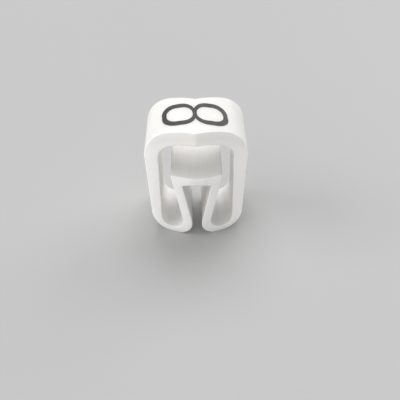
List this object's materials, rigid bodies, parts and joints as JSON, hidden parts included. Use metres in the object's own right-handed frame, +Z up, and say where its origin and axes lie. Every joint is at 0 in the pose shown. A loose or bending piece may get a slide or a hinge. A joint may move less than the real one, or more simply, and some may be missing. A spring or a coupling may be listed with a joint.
{
  "type": "cable marker",
  "caption": "Slip-on cable marker: soft extruded sleeve with a crowned label face, a folded-in spring web that grips the wire, and arrow-cut ends that nest.",
  "frame": {"origin": "centre of the marker's box in plan, on the plane of its two feet", "axes": "+Z up through the label face, +Y along the wire away from the pointed end, +X across the label face"},
  "size_m": [0.0048, 0.0038, 0.0061],
  "materials": {
    "sleeve": "soft white satin PVC, slightly translucent",
    "print": "dark grey printed ink"
  },
  "bodies": {
    "root": {"marker_sleeve": "sleeve"}
  },
  "joints": []
}
